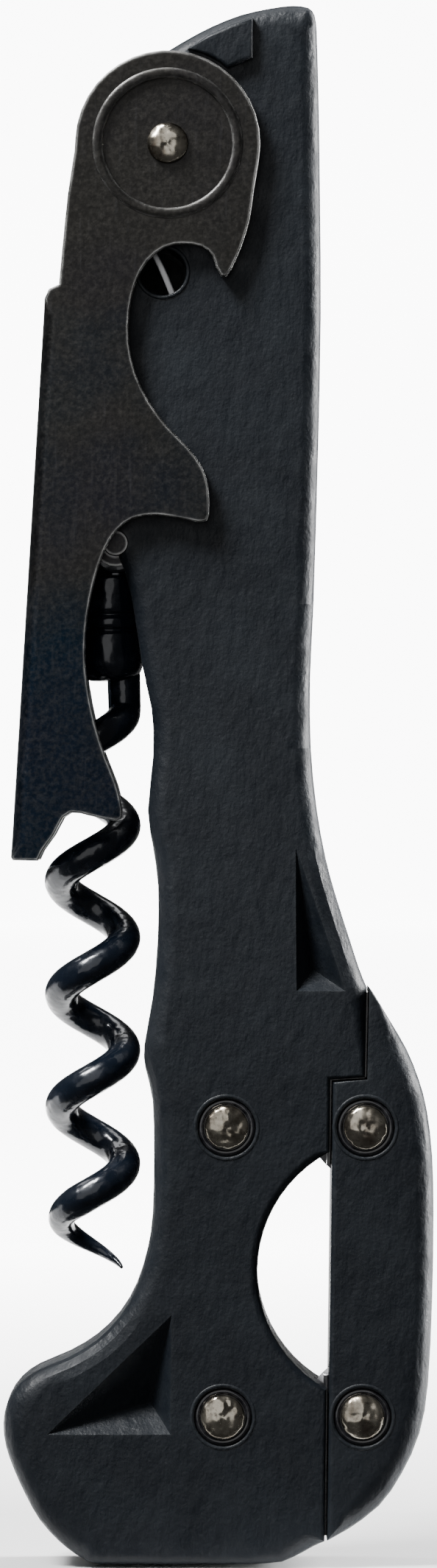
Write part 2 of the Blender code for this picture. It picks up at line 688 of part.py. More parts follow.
def worm():
    curve = bpy.data.curves.new("worm_wire", "CURVE")
    curve.dimensions = "3D"
    curve.bevel_depth = WIRE * MM
    curve.bevel_resolution = 2
    curve.use_fill_caps = True
    path = worm_path()
    spline = curve.splines.new("POLY")
    spline.points.add(len(path) - 1)
    for point, (x, y, z, radius) in zip(spline.points, path):
        point.co = (x * MM, y * MM, z * MM, 1.0)
        point.radius = radius / WIRE
    wire = as_cutter(remake(add("worm_wire", curve, CUTTERS), "worm_wire", CUTTERS))

    px, pz = WORM_PIVOT
    hub = add("worm", post("worm", px + HUB_SHIFT, HUB_RADIUS, HUB_END, pz - NECK_DROP))
    neck = add("worm_neck", post("worm_neck", px, NECK_RADIUS, pz - NECK_DROP - 0.8, pz, 24),
               CUTTERS)
    knuckle = turned("worm_knuckle", [
        (0.0, KNUCKLE_HALF), (KNUCKLE_RADIUS - 0.3, KNUCKLE_HALF),
        (KNUCKLE_RADIUS, KNUCKLE_HALF - 0.3), (KNUCKLE_RADIUS, 0.3 - KNUCKLE_HALF),
        (KNUCKLE_RADIUS - 0.3, -KNUCKLE_HALF), (0.0, -KNUCKLE_HALF)], WORM_PIVOT, 32,
        collection=CUTTERS)
    combine(hub, as_cutter(neck), "UNION")
    combine(hub, as_cutter(knuckle), "UNION")
    combine(hub, wire, "UNION")
    combine(hub, bore("worm_bore", PIN_RADIUS + BORE_FIT, WORM_PIVOT))
    return give(hub, "blued_steel")


# Foil cutter ---------------------------------------------------------------


def jaw_rim(x, z):
    split = place(9.7, 0)[0]
    if x < split or (z > place(0, 39.9)[1] and x < place(12.75, 0)[0]):
        return SPLIT_RIM
    return RIM


def slider_outline():
    """An L: the arm that slides in the handle and the leg that both cutting discs turn on."""
    left, right = JAW_RIVETS["lower"][0] - 2.2, JAW_RIVETS["upper"][0] + 2.4
    top = JAW_RIVETS["upper"][1] + 2.9
    return [(ARM_END, ARM_LOW), (right - 2.4, ARM_LOW), (right, ARM_LOW + 4.0),
            (right, top - 1.2), (right - 1.2, top), (left + 0.6, top), (left, top - 0.6),
            (left, ARM_HIGH), (ARM_END, ARM_HIGH)]


def jaw():
    body = rounded("jaw_blank", turned_way(JAW_OUTLINE), BASE_HALF, jaw_rim, tapered)
    outline = slider_outline()
    pieces = []
    for side, word in ((-1, "front"), (1, "back")):
        shell = add("jaw_%s_shell" % word, body.copy())
        away = (-HALF_GAP, 20.0) if side < 0 else (-20.0, HALF_GAP)
        combine(shell, cutter_slab("jaw_other_half_" + word,
                                   box_outline(-40, 40, -20, LENGTH), *away))
        for key, centre in JAW_RIVETS.items():
            combine(shell, seat_cutter("jaw_seat_%s_%s" % (key, word), centre, RIVET_SHANK))
            combine(shell, bore("jaw_disc_slot_%s_%s" % (key, word),
                                DISC_CUT_RADIUS + SLOT_FIT, centre, -DISC_SLOT_HALF,
                                DISC_SLOT_HALF, 48))
        if side > 0:
            combine(shell, cutter_slab("slider_pocket", grow(outline, FIT), -1.0,
                                       SLIDER_FAR + 0.1))
        pieces.append(give(shell, "matte_black"))
    plate = slab("jaw_slider", outline, SLIDER_NEAR, SLIDER_FAR)
    cut(plate, [bore("slider_bore_" + key, RIVET_SHANK + BORE_FIT, centre)
                for key, centre in JAW_RIVETS.items()])
    pieces.append(give(plate, "spring_steel"))
    discs = []
    for key, centre in JAW_RIVETS.items():
        inner, edge = RIVET_SHANK + BORE_FIT, DISC_CUT_RADIUS
        profile = [(inner, DISC_CUT_HALF), (edge - 0.8, DISC_CUT_HALF), (edge, 0.04),
                   (edge, -0.04), (edge - 0.8, -DISC_CUT_HALF), (inner, -DISC_CUT_HALF)]
        discs.append(give(turned("cutting_disc_" + key, profile, centre, 48, True),
                          "bright_steel"))
    return pieces, discs


# Moving groups -------------------------------------------------------------


def carry(name, centre, children):
    """An empty on the joint's axis that its pieces follow."""
    holder = add(name, None)
    holder.location = Vector((centre[0], 0.0, centre[1])) * MM
    bpy.context.view_layer.update()
    for child in children:
        child.parent = holder
        child.matrix_parent_inverse = holder.matrix_world.inverted()
    return holder


def named(start):
    return [obj for obj in PARTS.objects if obj.name.startswith(start)]


def build():
    handle_shells()
    core_plate()
    inner_springs()
    fasteners()
    worm_fittings()
    carry("lever_axis", PIVOT, [lever()])
    carry("worm_axis", WORM_PIVOT, [worm()])
    shells, discs = jaw()
    moving = shells + named("jaw_rivet") + named("jaw_washer")
    slide = carry("jaw_slide", JAW_RIVETS["lower"], moving)
    for disc in discs:
        disc.parent = slide
        disc.matrix_parent_inverse = slide.matrix_world.inverted()


build()
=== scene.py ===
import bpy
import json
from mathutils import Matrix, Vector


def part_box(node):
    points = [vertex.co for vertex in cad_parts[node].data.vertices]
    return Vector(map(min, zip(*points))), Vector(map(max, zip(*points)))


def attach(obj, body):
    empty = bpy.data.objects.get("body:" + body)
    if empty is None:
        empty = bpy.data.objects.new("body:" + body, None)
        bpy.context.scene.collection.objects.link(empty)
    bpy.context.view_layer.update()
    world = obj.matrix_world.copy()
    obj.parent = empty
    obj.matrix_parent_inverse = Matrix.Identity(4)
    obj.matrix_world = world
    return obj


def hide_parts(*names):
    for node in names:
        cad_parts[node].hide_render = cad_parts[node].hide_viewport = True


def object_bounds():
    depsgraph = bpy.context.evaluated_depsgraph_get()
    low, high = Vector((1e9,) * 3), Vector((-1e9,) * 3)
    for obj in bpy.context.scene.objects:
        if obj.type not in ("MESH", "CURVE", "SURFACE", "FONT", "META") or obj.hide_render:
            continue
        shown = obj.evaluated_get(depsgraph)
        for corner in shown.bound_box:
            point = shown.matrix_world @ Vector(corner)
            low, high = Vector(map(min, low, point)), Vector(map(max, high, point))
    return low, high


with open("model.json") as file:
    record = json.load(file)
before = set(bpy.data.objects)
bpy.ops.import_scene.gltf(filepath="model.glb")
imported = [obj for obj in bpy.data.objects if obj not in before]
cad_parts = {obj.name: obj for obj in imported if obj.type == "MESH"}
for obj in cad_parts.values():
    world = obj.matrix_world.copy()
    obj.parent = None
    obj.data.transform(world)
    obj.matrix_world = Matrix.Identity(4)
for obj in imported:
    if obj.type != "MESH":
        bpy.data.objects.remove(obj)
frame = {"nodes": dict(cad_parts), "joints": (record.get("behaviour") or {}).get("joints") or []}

# %% [markdown]
# # A folding lever corkscrew
# The tool stands on the flat end of its handle. A dark steel lever with two steps is folded
# along its left side, a black lacquered worm hangs below it, and a foil cutter jaw sits on the
# right. The CAD model gives every place and size; this lesson gives the parts their finish.

# %% Measure the CAD model
import json
import math

import bmesh
import bpy
import numpy as np
from mathutils import Vector

MM = 0.001
cad_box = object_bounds()
joints = {joint["name"]: joint for joint in frame["joints"]}
print("CAD box in mm:", [[round(v / MM, 1) for v in corner] for corner in cad_box])


def middle(node):
    """The middle of a node's box, in millimetres: half the sum of its two corners."""
    low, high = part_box(node)
    return (np.array(low) + np.array(high)) / 2 / MM


def reach(node):
    """A node's sizes along X, Y and Z, in millimetres: its high corner less its low one."""
    low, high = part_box(node)
    return (np.array(high) - np.array(low)) / MM


print("the lever is", reach("lever").round(1), "mm")

# %% [markdown]
# ## Surfaces from arrays
# Each new piece is a grid of points worked out at once with numpy, then joined into four-sided
# faces. Where a grid runs into a pole, its last row falls on one point, and welding closes it.

# %% Turn grids into closed meshes


def grid_faces(rows, columns, wrap_rows=False, wrap_columns=False):
    """Four corners for each cell of a grid: (i, j), (i+1, j), (i+1, j+1), (i, j+1)."""
    i = np.arange(rows if wrap_rows else rows - 1)[:, None]
    j = np.arange(columns if wrap_columns else columns - 1)[None]
    down, right = (i + 1) % rows, (j + 1) % columns
    corners = [i * columns + j, down * columns + j, down * columns + right, i * columns + right]
    return np.stack(corners, axis=-1).reshape(-1, 4)


def make_piece(name, grids, body, replaced=(), crease=40):
    """One object from grids in millimetres: (points, wrap rows, wrap columns, material)."""
    points, faces, slots, first = [], [], [], 0
    materials = []
    for grid, wrap_rows, wrap_columns, material in grids:
        rows, columns = grid.shape[:2]
        cells = grid_faces(rows, columns, wrap_rows, wrap_columns) + first
        if material not in materials:
            materials.append(material)
        points.append(grid.reshape(-1, 3))
        faces.append(cells)
        slots.append(np.full(len(cells), materials.index(material)))
        first += rows * columns
    mesh = bpy.data.meshes.new(name)
    mesh.from_pydata(np.concatenate(points) * MM, [], np.concatenate(faces))
    for material in materials:
        mesh.materials.append(material)
    mesh.polygons.foreach_set("material_index", np.concatenate(slots))
    settle(name, mesh, body, replaced, crease)


def settle(name, mesh, body, replaced, crease):
    """Welds a mesh, turns it outwards, shades it smooth up to a crease, and mounts it."""
    shape = bmesh.new()
    shape.from_mesh(mesh)
    bmesh.ops.remove_doubles(shape, verts=shape.verts, dist=1e-7)
    bmesh.ops.recalc_face_normals(shape, faces=shape.faces)
    shape.to_mesh(mesh)
    shape.free()
    mesh.shade_smooth()
    mesh.set_sharp_from_angle(angle=math.radians(crease))
    piece = bpy.data.objects.new(name, mesh)
    bpy.context.scene.collection.objects.link(piece)
    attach(piece, body)
    if replaced:
        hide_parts(*replaced)
    print(name, "has", len(mesh.polygons), "faces and rides on", body)


def turn(profile, centre, steps=96):
    """A profile of (radius, y) turned about a line along Y through centre (x, z):
    x = cx + r cos a, z = cz + r sin a, for a round the circle."""
    radius, level = np.array(profile, float).T
    a = np.linspace(0, 2 * np.pi, steps, endpoint=False)[None]
    x = centre[0] + radius[:, None] * np.cos(a)
    z = centre[1] + radius[:, None] * np.sin(a)
    return np.stack([x, np.broadcast_to(level[:, None], x.shape), z], axis=-1)


def bead(radius, level, width, height, side, count=14):
    """The half-round profile of a ring: an ellipse's upper half standing on y = level."""
    a = np.linspace(0, np.pi, count)
    r = radius - width / 2 * np.cos(a)
    y = level + side * height * np.sin(a)
    return np.stack([r, y], axis=1)


def footed_bead(radius, level, width, height, side, foot):
    """A bead closed by a foot: two corners straight below its ends, on y = foot."""
    crown = bead(radius, level, width, height, side)
    return np.concatenate([crown, [(crown[-1][0], foot), (crown[0][0], foot)]])


RIVET_PLACES = [(owner, level) for owner in ("handle", "jaw") for level in ("upper", "lower")]
SIDES = ((-1, "front"), (1, "back"))
print("the rivets are", ["%s_rivet_%s" % place for place in RIVET_PLACES])

# %% [markdown]
# ## Building blocks for the finishes
# Every finish starts from the Principled shader. Noise on Object coordinates gives grain at a
# real size, because one unit there is one metre: a scale of 2000 makes specks of half a
# millimetre. A bevelled normal compared with the true one finds the edges, where paint wears.

# %% Finish helpers


def finish(name, colour, roughness, metallic=0.0, coat=0.0, coat_roughness=0.1, specular=0.5):
    """A new material: its shader's fixed values set on the shader's own sockets."""
    material = bpy.data.materials.new(name)
    material.use_nodes = True
    shader = material.node_tree.nodes["Principled BSDF"]
    shader.inputs["Base Color"].default_value = (*colour, 1)
    shader.inputs["Roughness"].default_value = roughness
    shader.inputs["Metallic"].default_value = metallic
    shader.inputs["Coat Weight"].default_value = coat
    shader.inputs["Coat Roughness"].default_value = coat_roughness
    shader.inputs["Specular IOR Level"].default_value = specular
    return material, material.node_tree, shader


def grain(tree, scale, detail=3.0, stretch=(1, 1, 1), rough=0.55):
    """Noise in the object's own metres; stretch multiplies the scale along each axis."""
    place = tree.nodes.new("ShaderNodeTexCoord")
    mapping = tree.nodes.new("ShaderNodeMapping")
    mapping.inputs["Scale"].default_value = stretch
    noise = tree.nodes.new("ShaderNodeTexNoise")
    noise.inputs["Scale"].default_value = scale
    noise.inputs["Detail"].default_value = detail
    noise.inputs["Roughness"].default_value = rough
    tree.links.new(place.outputs["Object"], mapping.inputs["Vector"])
    tree.links.new(mapping.outputs["Vector"], noise.inputs["Vector"])
    return noise.outputs["Fac"]


def spread(tree, value, low, high, to_low=0.0, to_high=1.0):
    """Stretches low..high onto to_low..to_high, and holds it there outside."""
    node = tree.nodes.new("ShaderNodeMapRange")
    for key, number in (("From Min", low), ("From Max", high), ("To Min", to_low),
                        ("To Max", to_high)):
        node.inputs[key].default_value = number
    tree.links.new(value, node.inputs["Value"])
    return node.outputs["Result"]


def maths(tree, operation, one, two):
    """One sum on two values, each a socket or a number."""
    node = tree.nodes.new("ShaderNodeMath")
    node.operation = operation
    for slot, value in zip(node.inputs, (one, two)):
        if isinstance(value, (int, float)):
            slot.default_value = value
        else:
            tree.links.new(value, slot)
    return node.outputs["Value"]


def tint(tree, share, first, second):
    """Mixes two colours, each a socket or three numbers, by share."""
    node = tree.nodes.new("ShaderNodeMix")
    node.data_type = "RGBA"
    tree.links.new(share, node.inputs[0])
    for slot, value in ((node.inputs[6], first), (node.inputs[7], second)):
        if isinstance(value, tuple):
            slot.default_value = (*value, 1)
        else:
            tree.links.new(value, slot)
    return node.outputs[2]


def relief(tree, height, distance, strength=1.0, under=None):
    """Bumps the surface by height, times distance in metres."""
    node = tree.nodes.new("ShaderNodeBump")
    node.inputs["Strength"].default_value = strength
    node.inputs["Distance"].default_value = distance
    tree.links.new(height, node.inputs["Height"])
    if under:
        tree.links.new(under, node.inputs["Normal"])
    return node.outputs["Normal"]


def worn_edge(tree, radius, low=0.01, high=0.12):
    """1 on sharp edges and 0 on flats: one less the true normal times the bevelled one."""
    rounded = tree.nodes.new("ShaderNodeBevel")
    rounded.samples = 6
    rounded.inputs["Radius"].default_value = radius
    plain = tree.nodes.new("ShaderNodeNewGeometry")
    dot = tree.nodes.new("ShaderNodeVectorMath")
    dot.operation = "DOT_PRODUCT"
    tree.links.new(rounded.outputs["Normal"], dot.inputs[0])
    tree.links.new(plain.outputs["Normal"], dot.inputs[1])
    return spread(tree, maths(tree, "SUBTRACT", 1.0, dot.outputs["Value"]), low, high)


# %% [markdown]
# ## Soft black plastic
# The handle is moulded plastic with a fine satin ripple. It is nearly black, dusty grey where
# it is handled, and a little polished along its rims.

# %% Make the plastic
soft_black, tree, shader = finish("soft_black_plastic", (0.01, 0.013, 0.015), 0.5, specular=0.32)
dust = spread(tree, grain(tree, 160, 5), 0.42, 0.72)
speck = spread(tree, grain(tree, 2600, 3), 0.5, 0.85)
rub = maths(tree, "MULTIPLY", worn_edge(tree, 0.0007, 0.004, 0.1),
            spread(tree, grain(tree, 420, 4), 0.3, 0.7, 0.35, 1.0))
base = tint(tree, dust, (0.006, 0.0085, 0.0125), (0.0115, 0.0155, 0.0205))
base = tint(tree, maths(tree, "MULTIPLY", speck, 0.3), base, (0.032, 0.037, 0.04))
base = tint(tree, maths(tree, "MULTIPLY", rub, 0.4), base, (0.045, 0.05, 0.054))
tree.links.new(base, shader.inputs["Base Color"])
matt = maths(tree, "ADD", spread(tree, grain(tree, 500, 4), 0.35, 0.7, 0.42, 0.6),
             maths(tree, "MULTIPLY", rub, -0.1))
tree.links.new(matt, shader.inputs["Roughness"])
ripple = relief(tree, grain(tree, 1100, 4, (1.0, 1.0, 0.55)), 0.0002, 0.6)
pebble = relief(tree, grain(tree, 3300, 2), 0.00005, 0.6, ripple)
tree.links.new(pebble, shader.inputs["Normal"])
print("made", soft_black.name)

# %% [markdown]
# ## Gunmetal
# The lever is stamped sheet steel, blued to a dark gunmetal with a violet cast in places, and
# painted lighter towards the top and darker and bluer towards the bottom as painted light and
# shade from above. The cut edges are worn back to bright metal and painted brighter as a
# highlight, and fine scratches run along its length.

# %% Make the gunmetal
gunmetal, tree, shader = finish("gunmetal", (0.06, 0.06, 0.06), 0.4, 1.0)
place = tree.nodes.new("ShaderNodeTexCoord")
parts = tree.nodes.new("ShaderNodeSeparateXYZ")
tree.links.new(place.outputs["Object"], parts.inputs["Vector"])
# Painted light and shade: upper runs from 0 low on the lever to 1 high up, so the top is painted
# lighter and the bottom darker and bluer.
wander = maths(tree, "ADD", parts.outputs["Z"],
               spread(tree, grain(tree, 70, 3), 0.3, 0.7, -0.02, 0.02))
upper = spread(tree, wander, 0.07, 0.105)
specks = spread(tree, grain(tree, 2600, 4, rough=0.7), 0.42, 0.75)
streak = grain(tree, 2400, 3, (1.0, 1.0, 0.08))
# Worn edges and painted highlight: the cut edges turn pale and less metallic, standing for both
# bare metal and the light catching them.
edge = maths(tree, "MULTIPLY", worn_edge(tree, 0.00038, 0.006, 0.1),
             spread(tree, grain(tree, 700, 3), 0.3, 0.62, 0.35, 1.0))
# Painted light and shade: pale grey at the top of the lever, dark blue at its bottom.
base = tint(tree, upper, (0.007, 0.017, 0.03), (0.034, 0.033, 0.031))
violet = maths(tree, "MULTIPLY", spread(tree, grain(tree, 90, 2), 0.42, 0.75), 0.45)
base = tint(tree, violet, base, (0.022, 0.02, 0.032))
base = tint(tree, maths(tree, "MULTIPLY", specks, 0.22), base, (0.17, 0.16, 0.145))
base = tint(tree, spread(tree, streak, 0.58, 0.85, 0.0, 0.25), base, (0.12, 0.12, 0.13))
base = tint(tree, edge, base, (0.78, 0.78, 0.76))
tree.links.new(base, shader.inputs["Base Color"])
tree.links.new(spread(tree, edge, 0.0, 1.0, 1.0, 0.2), shader.inputs["Metallic"])
gloss = maths(tree, "ADD", spread(tree, specks, 0.0, 1.0, 0.36, 0.48),
              spread(tree, grain(tree, 240, 4), 0.4, 0.7, 0.0, 0.12))
tree.links.new(gloss, shader.inputs["Roughness"])
scratch = relief(tree, streak, 0.00003, 0.25)
skin = relief(tree, grain(tree, 1900, 3), 0.00006, 0.55, scratch)
tree.links.new(relief(tree, grain(tree, 380, 3), 0.00012, 0.3, skin), shader.inputs["Normal"])
print("made", gunmetal.name)

# %% [markdown]
# ## Black lacquer
# The worm is dipped in a glossy blue-black coating. It lies a little unevenly on the wire, so
# the highlights wander.

# %% Make the lacquer
lacquer, tree, shader = finish("black_lacquer", (0.006, 0.01, 0.018), 0.36, 0.2, 0.5, 0.08)
thin = spread(tree, grain(tree, 500, 4), 0.55, 0.8)
base = tint(tree, thin, (0.005, 0.009, 0.017), (0.03, 0.036, 0.05))
tree.links.new(base, shader.inputs["Base Color"])
tree.links.new(spread(tree, grain(tree, 900, 3), 0.35, 0.7, 0.16, 0.34),
               shader.inputs["Roughness"])
runs = relief(tree, grain(tree, 520, 2), 0.0003, 0.55)
tree.links.new(runs, shader.inputs["Normal"])
tree.links.new(runs, shader.inputs["Coat Normal"])
print("made", lacquer.name)

# %% [markdown]
# ## Bright metals
# The rivet heads are pale nickel with brown smudges and small dents. The springs and inner
# plates are ground steel, brushed along the tool. The cutting discs are polished.

# %% Make the bright metals
nickel, tree, shader = finish("worn_nickel", (0.66, 0.64, 0.6), 0.3, 1.0)
smudge = spread(tree, grain(tree, 620, 5, rough=0.65), 0.45, 0.7)
pits = spread(tree, grain(tree, 2100, 3), 0.6, 0.8)
base = tint(tree, smudge, (0.52, 0.48, 0.4), (0.15, 0.12, 0.09))
base = tint(tree, pits, base, (0.07, 0.055, 0.045))
tree.links.new(base, shader.inputs["Base Color"])
tree.links.new(spread(tree, grain(tree, 800, 4), 0.3, 0.7, 0.14, 0.34),
               shader.inputs["Roughness"])
peened = relief(tree, grain(tree, 900, 1), 0.0005, 0.6)
tree.links.new(peened, shader.inputs["Normal"])

ground, tree, shader = finish("ground_steel", (0.3, 0.3, 0.31), 0.4, 1.0)
lines = grain(tree, 3000, 3, (1.0, 1.0, 0.05))
tree.links.new(tint(tree, spread(tree, lines, 0.35, 0.7), (0.34, 0.34, 0.35),
                    (0.56, 0.56, 0.57)), shader.inputs["Base Color"])
tree.links.new(spread(tree, lines, 0.3, 0.7, 0.26, 0.42), shader.inputs["Roughness"])
tree.links.new(relief(tree, lines, 0.00003, 0.5), shader.inputs["Normal"])

polished, tree, shader = finish("polished_steel", (0.7, 0.7, 0.72), 0.16, 1.0)
haze = grain(tree, 1500, 4)
tree.links.new(tint(tree, spread(tree, haze, 0.4, 0.7), (0.74, 0.74, 0.76),
                    (0.5, 0.5, 0.52)), shader.inputs["Base Color"])
tree.links.new(spread(tree, haze, 0.3, 0.7, 0.1, 0.24), shader.inputs["Roughness"])

black_ring, tree, shader = finish("black_ring", (0.008, 0.008, 0.01), 0.16, 0.0, 0.6, 0.08)
tree.links.new(tint(tree, spread(tree, grain(tree, 1400, 3), 0.4, 0.75), (0.006, 0.006, 0.008),
                    (0.03, 0.03, 0.034)), shader.inputs["Base Color"])
tree.links.new(relief(tree, grain(tree, 1800, 2), 0.00006, 0.3), shader.inputs["Normal"])
print("made", [m.name for m in (nickel, ground, polished, black_ring)])

# %% [markdown]
# ## The moulded shells and the lever
# Their shapes are already right in the CAD model, but its triangles are loose and flat shaded.
# A welded copy shades softly over its rounded rims. Each corner's normal is weighted by the
# area of the faces round it, so the big flat faces stay flat up to their edges.

# %% Weld and shade copies of the CAD bodies


def welded(node, body, material, crisp=(), crease=38):
    """A copy of a node's triangles with shared corners, weighted normals and its finish.
    Inside each crisp box, (low x, high x, low z, high z), every fold over 4 degrees stays
    sharp, because a sculpted pit's facets meet the face at a shallow angle."""
    mesh = frame["nodes"][node].data.copy()
    mesh.materials.clear()
    mesh.materials.append(material)
    shape = bmesh.new()
    shape.from_mesh(mesh)
    bmesh.ops.remove_doubles(shape, verts=shape.verts, dist=1e-6)
    folds = [edge.calc_face_angle(0.0) for edge in shape.edges]
    shape.to_mesh(mesh)
    shape.free()
    ends = np.empty(len(mesh.edges) * 2, int)
    places = np.empty(len(mesh.vertices) * 3)
    mesh.edges.foreach_get("vertices", ends)
    mesh.vertices.foreach_get("co", places)
    spots = places.reshape(-1, 3)[ends.reshape(-1, 2)] / MM
    folds = np.degrees(folds)
    sharp = folds > crease
    for low_x, high_x, low_z, high_z in crisp:
        x, z = spots[..., 0], spots[..., 2]
        inside = (x > low_x) & (x < high_x) & (z > low_z) & (z < high_z)
        sharp |= inside.all(axis=1) & (folds > 4)
    mesh.shade_smooth()
    mesh.attributes.new("sharp_edge", "BOOLEAN", "EDGE").data.foreach_set("value", sharp)
    piece = bpy.data.objects.new(node + "_finished", mesh)
    bpy.context.scene.collection.objects.link(piece)
    even = piece.modifiers.new("even normals", "WEIGHTED_NORMAL")
    even.keep_sharp = True
    even.weight = 90
    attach(piece, body)
    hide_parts(node)
    print(piece.name, "has", len(mesh.polygons), "faces")


pits = [(6.2, 11.2, 47.2, 60.2), (-14.8, -3.4, 10.4, 21.4)]
for node in ("handle_front_shell", "handle_back_shell"):
    welded(node, "handle", soft_black, pits)
for node in ("jaw_front_shell", "jaw_back_shell"):
    welded(node, "jaw", soft_black)
welded("lever", "lever", gunmetal)

# %% [markdown]
# ## The rolled edge of the lever's disc
# Round its pivot each cheek has a sunk disc with a bright raised edge. It is a half-round bead
# turned about the pivot.

# %% Turn the disc edges
pivot = np.array(joints["lever_swing"]["pos_m"])[[0, 2]] / MM
cheek = reach("lever")[1] / 2
for side, word in SIDES:
    profile = footed_bead(5.85, side * (cheek - 0.05), 0.9, 0.2, side, side * (cheek - 0.3))
    make_piece("lever_disc_edge_" + word, [(turn(profile, pivot), True, True, gunmetal)],
               "lever", crease=50)

# %% [markdown]
# ## The worm
# One wire, drawn to a point and wound round a mandrel. Its middle line runs straight down from
# the hub and then round a right-handed helix, x = cx + R cos a, y = -R sin a, falling one pitch
# a turn. A circle is carried along it, in the plane square to the line, and shrinks to the
# point over the last half turn.

# %% Wind the worm
WIRE, COIL, TURNS = 1.37, 2.68, 4.93  # wire radius, coil radius, turns
HUB_RADIUS, NECK_RADIUS = 2.75, 2.1
KNUCKLE_RADIUS, KNUCKLE_HALF, KNUCKLE_RIM = 2.6, 2.2, 0.45
hinge = np.array(joints["worm_swing"]["pos_m"]) / MM
tip_z, hub_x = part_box("worm")[0][2] / MM + 0.2, hinge[0]
coil_x, top_z, hub_end = hub_x - 1.97, hinge[2] - 14.1, hinge[2] - 11.5


def worm_line(count=900):
    """Points on the wire's middle line and its radius at each, from the hub to the point.
    The straight lead and the helix are laid end to end, then averaged over a short way so
    that one flows into the other."""
    lead = np.linspace(0, 1, 60, endpoint=False)
    straight = np.stack([coil_x + COIL - 0.15 * (1 - lead), 0 * lead,
                         hub_end + 2.5 - (hub_end + 2.5 - top_z) * lead], axis=1)
    turns = np.linspace(0, TURNS, count)
    a = 2 * np.pi * turns
    helix = np.stack([coil_x + COIL * np.cos(a), -COIL * np.sin(a),
                      top_z - (top_z - tip_z) * turns / TURNS], axis=1)
    line = np.concatenate([straight, helix])
    window = np.hanning(25)
    window /= window.sum()
    padded = np.concatenate([line[:1].repeat(12, 0), line, line[-1:].repeat(12, 0)])
    soft = np.stack([np.convolve(padded[:, k], window, "valid") for k in range(3)], axis=1)
    soft[-13:] = line[-13:]
    left = np.concatenate([np.full(60, 9.0), (TURNS - turns) / 0.6])
    radius = WIRE * np.minimum(1.0, 0.1 + 0.9 * np.sqrt(np.clip(left, 0, None)) * left ** 0.35)
    return soft, radius


def tube(line, radius, sides=30):
    """A circle carried along a line: point = line + r (side cos b + across sin b), with side
    pointing away from the coil's axis. Coating makes the radius swell and thin slightly."""
    along = np.gradient(line, axis=0)
    along /= np.linalg.norm(along, axis=1)[:, None]
    side = line - np.array([coil_x, 0, 0])
    side[:, 2] = 0
    side -= along * (side * along).sum(axis=1)[:, None]
    side /= np.linalg.norm(side, axis=1)[:, None]
    across = np.cross(along, side)
    b = np.linspace(0, 2 * np.pi, sides, endpoint=False)[None]
    s = np.arange(len(line))[:, None]
    lumps = 1 + 0.012 * np.sin(s * 0.061 + 2 * b) + 0.01 * np.sin(s * 0.023 - b + 1.0)
    r = (radius[:, None] * lumps)[..., None]
    grid = line[:, None] + r * (side[:, None] * np.cos(b)[..., None]
                                + across[:, None] * np.sin(b)[..., None])
    ends = [np.broadcast_to(line[k], grid[:1].shape) for k in (0, -1)]
    return np.concatenate([ends[0], grid, ends[1]])


wire_line, wire_radius = worm_line()
wire_grid = tube(wire_line, wire_radius)

# %% [markdown]
# The hub is a stub of round bar above the wire, with two rolled grooves. Its end is domed to
# meet the wire, and a thinner neck joins it to the rolled knuckle that turns on the pin. Hub
# and neck are profiles of (radius, z) turned about an upright line, so y and z are swapped.

# %% Turn the hub, the neck and the knuckle
bar_x, bar_top = hub_x - 0.5, hinge[2] - 2.6
z = np.linspace(bar_top, hub_end, 170)
r = np.full(z.shape, HUB_RADIUS)
for middle_z in hinge[2] - np.array([5.9, 7.2]):
    r -= 0.3 * np.exp(-((z - middle_z) / 0.24) ** 2)
fall = np.clip((hub_end + 1.6 - z) / 1.6, 0, 1)
r -= 1.5 * (1 - np.sqrt(1 - fall ** 2 * 0.999))
shoulder = np.clip((z - bar_top + 0.4) / 0.4, 0, 1)
r -= 0.4 * (1 - np.sqrt(1 - shoulder ** 2 * 0.999))
bar = turn(np.concatenate([[(0, z[0])], np.stack([r, z], axis=1), [(0, z[-1])]]), (bar_x, 0), 80)
neck_end = bar_top - 0.8
neck = turn([(0, hinge[2]), (NECK_RADIUS, hinge[2]), (NECK_RADIUS, neck_end), (0, neck_end)],
            (hub_x, 0), 64)

corner = np.linspace(0, np.pi / 2, 8)
rim = np.stack([KNUCKLE_RADIUS - KNUCKLE_RIM + KNUCKLE_RIM * np.sin(corner),
                KNUCKLE_HALF - KNUCKLE_RIM + KNUCKLE_RIM * np.cos(corner)], 1)
knuckle = np.concatenate([[(0, KNUCKLE_HALF)], rim, rim[::-1] * [1, -1],
                          [(0, -KNUCKLE_HALF)]])
make_piece("worm_finished", [
    (wire_grid, False, True, lacquer),
    (bar[..., [0, 2, 1]], False, True, lacquer),
    (neck[..., [0, 2, 1]], False, True, lacquer),
    (turn(knuckle, (hub_x, hinge[2]), 72), False, True, lacquer),
], "worm", ["worm"], 50)

# %% [markdown]
# ## Rivets and their rings
# A rivet's head is peened over a black ring that sits in a counterbore. The head is a shallow
# dome, y = base + rise sqrt(1 - (r/R)^2.6), with a small flat where it is worn; the ring is a
# half-round bead that shows round it.

# %% Turn the rivets


def dome(radius, base, rise, count=22):
    """Head profile from its crown to its rim, with the rise falling as a flattened ellipse."""
    share = np.sin(np.linspace(0, np.pi / 2, count))
    y = base + 0.12 + (rise - 0.12) * np.sqrt(1 - share ** 2.6)
    return np.stack([radius * share, y], axis=1)


def rivet_grid(node, shank, rise):
    """Head, shank and head, turned about the node's own axis and kept in its own box."""
    x, _, z = middle(node)
    half, radius = reach(node)[1] / 2, reach(node)[0] / 2
    head = dome(radius, half - rise, rise)
    front = np.concatenate([head, [(radius - 0.03, half - rise), (shank, half - rise)]])
    profile = np.concatenate([front, front[::-1] * [1, -1]])
    grid = turn(profile, (x, z), 88)
    swirl = np.arctan2(grid[..., 2] - z, grid[..., 0] - x)
    out = np.hypot(grid[..., 2] - z, grid[..., 0] - x) / radius
    grid[..., 1] *= 1 - 0.004 * np.sin(3 * swirl + x) * out * (1 - out) * 4
    return grid


